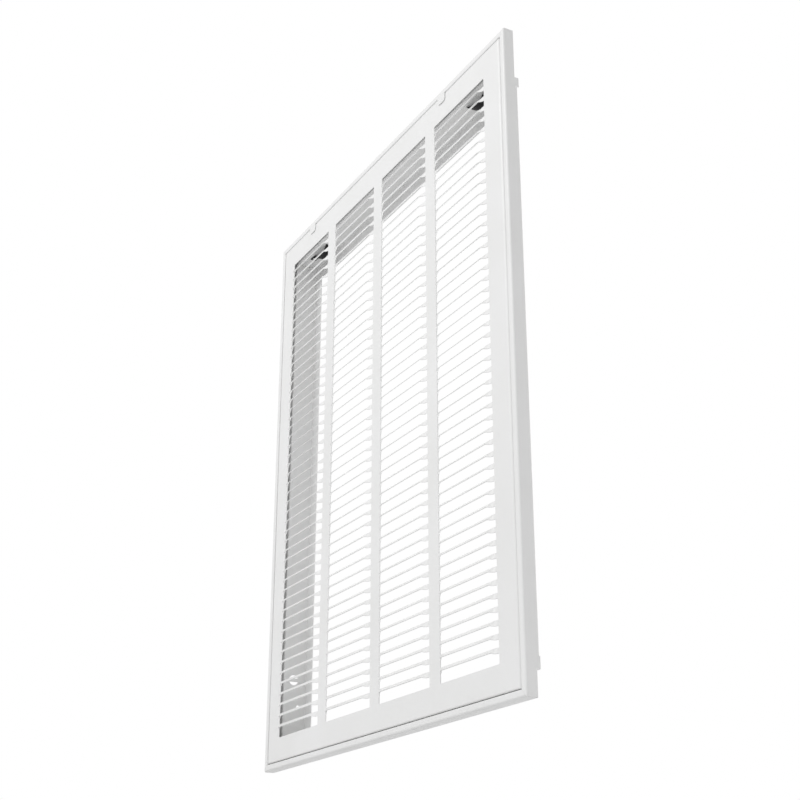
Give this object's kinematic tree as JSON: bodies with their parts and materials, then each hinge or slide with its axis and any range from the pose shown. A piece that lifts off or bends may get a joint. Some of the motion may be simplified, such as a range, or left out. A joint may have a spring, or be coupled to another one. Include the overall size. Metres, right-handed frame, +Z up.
{
  "type": "return air filter grille",
  "caption": "Wall-mounted sheet-steel return air grille with a slotted door that swings down on bottom pins and is held by spring latches, over a filter pocket.",
  "frame": {"origin": "centre of the opening in the plane of the wall, where the rear edge of the skirt rests", "axes": "+X to the right seen from the room, +Y into the wall, +Z up"},
  "size_m": [0.5746, 0.0435, 0.7016],
  "materials": {
    "powder_coat": "satin white powder coat",
    "zinc_steel": "zinc plated",
    "rivet_steel": "bright zinc",
    "black_steel": "satin black"
  },
  "bodies": {
    "frame": {"frame_top": "powder_coat", "frame_bottom": "powder_coat", "frame_left": "powder_coat", "frame_right": "powder_coat", "corner_key_tl": "zinc_steel", "corner_key_tr": "zinc_steel", "corner_key_bl": "zinc_steel", "corner_key_br": "zinc_steel", "filter_clip_left": "black_steel", "filter_clip_right": "black_steel", "clip_rivets": "rivet_steel", "hinge_pin_left": "rivet_steel", "hinge_pin_right": "rivet_steel"},
    "door": {"door_panel": "powder_coat", "latch_guide_left": "zinc_steel", "latch_guide_right": "zinc_steel", "latch_spring_left": "rivet_steel", "latch_spring_right": "rivet_steel"},
    "latch_left": {"latch_slide_left": "powder_coat"},
    "latch_right": {"latch_slide_right": "powder_coat"}
  },
  "joints": [
    {"name": "door_swing", "type": "hinge", "parent": "frame", "child": "door", "pos_m": [0, -0.0093, -0.33895], "axis": [1, 0, 0], "range_deg": [0, 100]},
    {"name": "latch_left_slide", "type": "slide", "parent": "door", "child": "latch_left", "axis": [0, 0, -1], "range_m": [0, 0.005], "stiffness_N_per_m": 300, "springref_m": -0.004, "deforming": ["latch_spring_left"]},
    {"name": "latch_right_slide", "type": "slide", "parent": "door", "child": "latch_right", "axis": [0, 0, -1], "range_m": [0, 0.005], "stiffness_N_per_m": 300, "springref_m": -0.004, "deforming": ["latch_spring_right"]}
  ]
}
